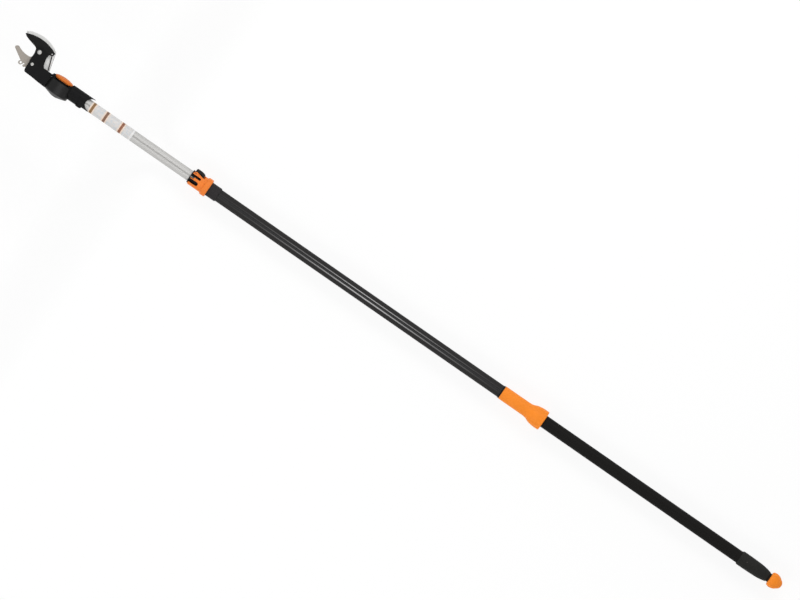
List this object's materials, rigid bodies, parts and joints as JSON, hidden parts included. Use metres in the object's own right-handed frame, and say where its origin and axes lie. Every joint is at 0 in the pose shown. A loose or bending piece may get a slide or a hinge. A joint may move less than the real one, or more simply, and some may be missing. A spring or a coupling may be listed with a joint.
{
  "type": "tree pruner pole",
  "caption": "Telescopic pole pruner with a sliding pull handle, pull knob, lever-locked extension and a tilting bypass cutting head driven by a strap and geared lever.",
  "frame": {"origin": "on the pole's axis, half way along the bare stretch of black tube between the slide handle's stop ring and the ferrule, where a wall clip holds it", "axes": "+X along the pole towards the cutting head, -Y towards the blade side, +Z towards the side with the strap channel"},
  "size_m": [2.3927, 0.1116, 0.068],
  "materials": {
    "black_tube": "satin",
    "silver_tube": "satin",
    "label": "satin",
    "black_plastic": "matte",
    "grip_rubber": "matte",
    "orange_plastic": "gloss",
    "strap": "woven",
    "cord": "woven",
    "steel": "satin",
    "blade_coat": "satin",
    "hook_steel": "brushed",
    "lever_grey": "satin",
    "spring_wire": "satin"
  },
  "bodies": {
    "pole": {"outer_tube": "black_tube", "stop_ring": "black_plastic", "ferrule": "black_plastic", "ferrule_rivets": "steel", "clamp_collar": "orange_plastic", "strap_bar": "steel", "split_bush": "black_plastic", "lever_pin_steel": "steel", "butt_grip": "grip_rubber", "grip_pin": "steel", "strap_turn": "strap", "strap_groove": "strap"},
    "clamp_lever": {"cam_lever": "black_plastic"},
    "handle": {"slide_handle": "orange_plastic", "strap_clamp": "steel", "strap_drive": "strap"},
    "knob": {"end_knob": "orange_plastic", "knob_neck": "black_plastic", "knob_cord": "cord"},
    "mast": {"inner_tube": "silver_tube", "tube_label": "label", "mast_foot": "black_plastic", "foot_rivets": "steel", "foot_roller": "steel", "foot_axle": "steel", "strap_mast": "strap", "head_socket": "black_plastic", "socket_screw": "steel"},
    "spool": {"strap_spool": "black_plastic"},
    "head": {"head_body": "black_plastic", "front_cheek": "black_plastic", "hook": "hook_steel", "hook_rivet": "steel", "blade_pin": "steel", "lever_pin_bolt": "steel", "spacer_screws": "steel", "cord_roller": "steel", "roller_pin": "steel", "anchor_pin": "steel", "tilt_bolt": "steel", "cord_head": "cord", "cord_span": "cord", "return_spring": "spring_wire"},
    "dial": {"tilt_dial": "orange_plastic", "tilt_nut": "steel"},
    "blade": {"blade": "blade_coat", "ear_pin": "steel"},
    "lever": {"lever": "lever_grey", "cord_rim": "cord", "cord_rivet": "steel"}
  },
  "joints": [
    {"name": "telescope", "type": "slide", "parent": "pole", "child": "mast", "axis": [1, 0, 0], "range_m": [0, 1.4], "deforming": ["strap_groove"]},
    {"name": "tilt", "type": "hinge", "parent": "mast", "child": "head", "pos_m": [0.9295, 0, 0], "axis": [0, 1, 0], "range_deg": [-110, 110]},
    {"name": "dial_turn", "type": "hinge", "parent": "head", "child": "dial", "pos_m": [0.9295, -0.018, 0], "axis": [0, 1, 0], "range_deg": [0, 360]},
    {"name": "blade_swing", "type": "hinge", "parent": "head", "child": "blade", "pos_m": [1.0215, -0.0396, 0.0047], "axis": [0, 0, 1], "range_deg": [0, 54], "stiffness_Nm_per_rad": 0.3, "springref_deg": -17.19, "deforming": ["return_spring", "cord_span"]},
    {"name": "lever_swing", "type": "hinge", "parent": "head", "child": "lever", "pos_m": [1.00521, -0.00749, -0.0057], "axis": [0, 0, 1], "range_deg": [-36.05, 0], "deforming": ["cord_span"]},
    {"name": "spool_turn", "type": "hinge", "parent": "mast", "child": "spool", "pos_m": [0.9295, -0.009, 0], "axis": [0, 1, 0], "range_deg": [0, 223.3]},
    {"name": "handle_slide", "type": "slide", "parent": "pole", "child": "handle", "axis": [-1, 0, 0], "range_m": [0, 0.0858], "deforming": ["strap_drive"]},
    {"name": "knob_pull", "type": "slide", "parent": "pole", "child": "knob", "axis": [-1, 0, 0], "range_m": [0, 0.11]},
    {"name": "clamp_release", "type": "hinge", "parent": "pole", "child": "clamp_lever", "pos_m": [0.5166, -0.01835, 0.00935], "axis": [0, 0.454, 0.891], "range_deg": [0, 95]}
  ],
  "couplings": [
    {"joint": "lever_swing", "follows": "blade_swing", "ratio": -0.66667},
    {"joint": "spool_turn", "follows": "blade_swing", "ratio": 4.1333},
    {"joint": "handle_slide", "follows": "blade_swing", "m_per_rad": 0.090933}
  ]
}
